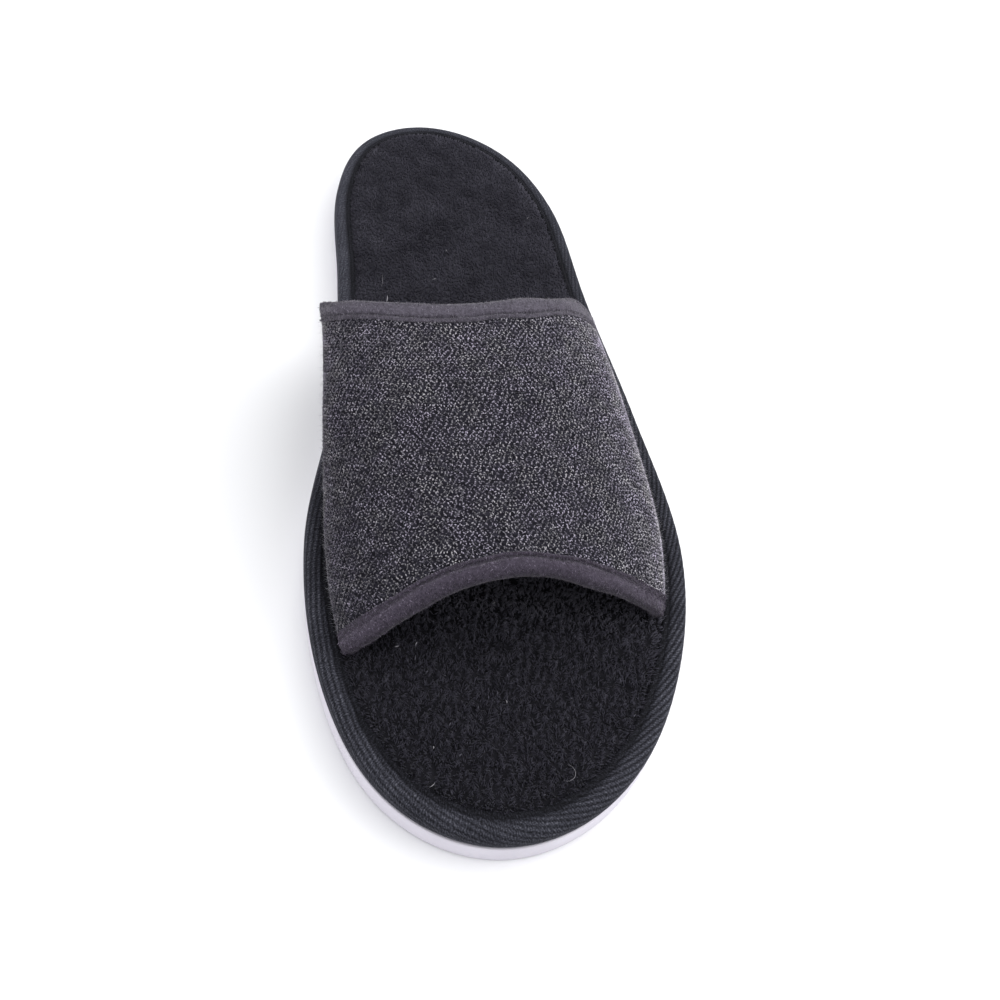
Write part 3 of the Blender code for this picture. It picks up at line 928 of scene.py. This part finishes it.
def velourFinish(name, dyeAndShade):
    made, tree, shader = newFinish(name, rough=0.95, specular=0.1, sheen=0.4 * dyeAndShade[0], sheenRough=0.4)
    strokes = noise(tree, objectCoords(tree), 0.0007, detail=3, rough=0.65)
    dark, light = (np.array(dyeAndShade) * colour for colour in ((0.04, 0.035, 0.0465), (0.112, 0.1005, 0.128)))
    # the shade attribute adds the roll's painted highlight and shade to the noise
    colourBy(tree, shader, maths(tree, "ADD", strokes, shadeOf(tree)), [(0.3, dark), (0.7, light)])
    bumpBy(tree, shader, strokes, 0.6, 0.35)
    return made


def napFinish(name, cast):
    return shadedFinish(name, [
        (0.0, np.array(cast) * (0.022, 0.0192, 0.0257)),
        (0.5, np.array(cast) * (0.105, 0.0945, 0.12)),
        (1.0, np.array(cast) * (0.34, 0.315, 0.37)),
    ], rough=0.85, specular=0.15, sheen=0.3, sheenRough=0.4)


def threadFinish():
    made, tree, shader = newFinish("seamThread", rough=0.6, specular=0.35)
    ply = noise(tree, objectCoords(tree), 0.0005, detail=1)
    colourBy(tree, shader, ply, [(0.35, (0.02, 0.019, 0.025)), (0.65, (0.05, 0.047, 0.058))])
    return made


def paintedRollShade(share):
    # By the share of the way round the section: painted highlight on the crest, painted shade in the groove
    # and under the fold
    bells = (roll["paintedCrestLight"], roll["groove"])
    paintedCrestLight, groove = (np.exp(-(((share - middle) / wide) ** 2)) for middle, wide in bells)
    return paintedCrestLight - roll["paintedGrooveShade"] * groove - roll["paintedUnderShade"] * ease(share, *roll["under"])


def bindingGrid(p):
    # The section carried along the edge; the strip's width and lift waver a little
    b = binding
    at = np.linspace(0, bindingRows["at"][-1], b["steps"])
    depth, lift, fromGroove, fromLeaf = (rowValue(bindingRows, k, at) for k in list(bindingRows)[1:])
    across = np.linspace(0, 1, b["across"])
    way = across[:, None] * upper["girth"]
    wander = b["wander"] * waves(way, 0 * way, b["wanderPitch"], p["seed"] + 9)
    wander = wander * (1 - fromGroove) * (1 - fromLeaf)  # of the fold alone
    depth = depth + fromGroove * p["groove"] + fromLeaf * p["leaf"] + wander
    waver = 1 + b["waver"] * waves(way, 0 * way, b["waverPitch"], p["seed"])
    puff = 1 + b["puff"] * waves(way, at[None], b["puffPitch"], p["seed"] + 7) * ease(lift, *b["puffLift"])
    along = p["edge"] + p["inwards"] * depth * waver / courseLength(across)[:, None]
    place, normal = vampFrame(across[:, None], along)
    nearEnd = 1 - ease(np.minimum(across, 1 - across), *b["flushEnd"])
    flush = b["flush"] * nearEnd[:, None] * ease(lift, *b["flushLift"])
    grid = place + (lift * puff - flush)[..., None] * normal
    sunk = grid - (0, 0, b["tuck"])
    return np.concatenate([sunk[:1], grid, sunk[-1:]])


def makeBinding(name, thread):
    # The strip, closed at its two feet, then the nap and the seam on it
    p = bindings[name]
    grid = bindingGrid(p)
    rows, columns = grid.shape[:2]
    faces, _, _ = gridFaces(rows, columns, wrapColumns=True)
    ring = np.arange(columns)
    ends = np.stack([ring, (rows - 1) * columns + ring[::-1]])
    faces, ends = (faces, ends[:, ::-1]) if p["inwards"] < 0 else (faces[:, ::-1], ends)
    ground = velourFinish(name + "Ground", p["dyeAndShade"])
    # The ground's shade attribute carries the roll's painted highlight and shade
    shade = np.broadcast_to(roll["rollShadeOnGround"] * paintedRollShade(ring / columns), (rows, columns))
    dress(putMesh(name, grid, [faces, ends], [ground], shade=shade), "binding_velour", p["node"])
    makeNap(name.replace("Binding", "Nap"), grid, p, napFinish(name + "Fibre", p["cast"]))
    makeSeam(name.replace("Binding", "Seam"), grid, p, thread)


def makeNap(name, grid, p, finish):
    # Short fibres all over the strip's outside, combed towards the fold, and longer loose ones along the fold
    n = velour
    draw = np.random.default_rng(p["seed"])
    short, loose = n["counts"]
    count = short + loose
    rows, columns = grid.shape[:2]
    row = draw.uniform(1, rows - 2, count)
    column = draw.uniform(0.5, n["shown"] * columns, count)
    column[short:] = draw.uniform(*n["fold"], loose) * columns
    grids = (grid, gridNormals(grid) * p["inwards"], unit(np.gradient(grid, axis=1)))
    place, normal, comb = (sampleGrid(g, row, column) for g in grids)
    isLoose = np.arange(count)[:, None] >= short
    way = mix(*n["stand"], isLoose) * normal + mix(*n["comb"], isLoose) * comb
    way = unit(way + draw.normal(0, n["spread"], normal.shape))
    long = n["long"] * draw.uniform(*n["longSpread"], (count, 1)) * mix(*n["longTimes"], isLoose)
    radius = n["radius"] * draw.uniform(*n["radiusSpread"], count) * mix(*n["radiusTimes"], isLoose[:, 0])
    points, faces = spikes(place - n["sink"] * normal, place + way * long, radius)
    blotch = waves(row * n["blotchAlong"], column * n["blotchRound"], n["blotchPitch"], p["seed"] + 3)
    # the nap's tone carries the roll's painted highlight and shade too
    tone = p["tone"] + n["blotch"] * blotch + roll["rollShadeOnNap"] * paintedRollShade(column / columns)
    tone = tone + draw.normal(0, n["own"], count) + mix(*n["paler"], isLoose[:, 0])
    # Painted shade: each fibre darker at its root than at its tip
    shade = np.clip(tone, 0, 1)[:, None] * np.array(n["ends"])
    dress(putMesh(name, points, [faces], [finish], shade=shade, smooth=False), "binding_velour")


def makeSeam(name, grid, p, finish):
    # Lock stitches lying in the groove: each dips into the cloth at its two ends
    s = seam
    column = np.argmin(np.abs(np.linspace(0, bindingRows["at"][-1], binding["steps"]) - s["place"]))
    line = grid[:, column]
    run = runAlong(line)
    before, after = s["ends"]
    starts = np.arange(before, run[-1] - after, s["stitch"] + s["gap"])
    share = np.linspace(0, 1, s["steps"])
    at = starts[:, None] + s["stitch"] * share[None]
    normals = gridNormals(grid)[:, column] * p["inwards"]
    paths, upright = (np.stack([np.interp(at, run, g[:, k]) for k in range(3)], -1) for g in (line, normals))
    paths = paths + (s["arch"] * np.sin(np.pi * share)[None, :, None] - s["sink"]) * upright
    radius = s["thread"] * np.sin(np.pi * np.clip(share, *s["taper"])) ** s["blunt"]
    points, faces = tubes(paths, radius, upright)
    dress(putMesh(name, points, faces, [finish]), "binding_velour")


# Floor, light and camera

stage = {"floor": 3.0, "z": -0.2, "colour": (0.86, 0.86, 0.87), "air": (0.97, 0.98, 1.0), "world": 0.85}
lights = {
    "keyAbove": {"place": (0.35, 0.2, 1.15), "size": 1.8, "power": 12.5},
    "rightSide": {"place": (0.95, -0.05, 0.42), "size": 1.3, "power": 6.5},
    "leftLow": {"place": (-0.9, -0.3, 0.14), "size": 0.6, "power": 2.5},
}
camera = {
    "place": (-46.29, -273.65, 290.16), "heading": 4.0, "pitch": 48.5, "lens": 46.8, "sensor": 36.0,
    "focalPixels": 1300.0, "shoeMiddle": (730.0, 538.0), "frameMiddle": (500.0, 500.0), "clip": (0.01, 20.0),
}


def makeStage():
    # A flat floor, an even sky and three soft round lamps turned to the shoe
    made, _, shader = newFinish("floor", rough=0.9, specular=0.1)
    shader.inputs["Base Color"].default_value = (*stage["colour"], 1)
    half, z = stage["floor"] / mm, stage["z"]
    corners = np.array([[-half, -half, z], [half, -half, z], [half, half, z], [-half, half, z]])
    putMesh("floor", corners, [np.array([[0, 1, 2, 3]])], [made])
    world = bpy.data.worlds.new("softRoom")
    bpy.context.scene.world = world
    world.use_nodes = True
    sky = world.node_tree.nodes["Background"]
    sky.inputs["Color"].default_value = (*stage["air"], 1)
    sky.inputs["Strength"].default_value = stage["world"]
    for name, p in lights.items():
        lamp = bpy.data.lights.new(name, "AREA")
        lamp.shape = "DISK"
        lamp.size = p["size"]
        lamp.energy = p["power"]
        held = putObject(name, lamp)
        held.location = p["place"]
        held.rotation_euler = (-Vector(p["place"])).to_track_quat("-Z", "Y").to_euler()
    bpy.context.scene.view_settings.view_transform = "Standard"
    print("stage ready")


def makeCamera():
    # The photo's place and pitch, then turned by the shortest way to have the shoe in the middle
    p = camera
    heading, pitch = np.radians(p["heading"]), np.radians(p["pitch"])
    ahead = Vector((-np.sin(heading) * np.cos(pitch), np.cos(heading) * np.cos(pitch), -np.sin(pitch)))
    right = Vector((np.cos(heading), np.sin(heading), 0))
    up = right.cross(ahead)
    aside, down = ((a - b) / p["focalPixels"] for a, b in zip(p["shoeMiddle"], p["frameMiddle"]))
    aim = ahead + aside * right - down * up
    basis = Matrix((right, up, -ahead)).transposed()
    turned = ahead.rotation_difference(aim).to_matrix() @ basis
    lens = bpy.data.cameras.new("camera")
    lens.lens = p["lens"]
    lens.sensor_width = p["sensor"]
    lens.clip_start, lens.clip_end = p["clip"]
    held = putObject("camera", lens)
    held.matrix_world = Matrix.Translation(Vector(p["place"]) * mm) @ turned.to_4x4()
    bpy.context.scene.camera = held
    print("camera ready")


makeStage()
makeCamera()
makeOutsole()
makeFootbed()
fibre = plushFibre()
for name in pile:
    makePile(name, fibre)
makeLint()
makeTape()
makeUpper()
makeStitches()
makeFuzz()
thread = threadFinish()
for name in bindings:
    makeBinding(name, thread)
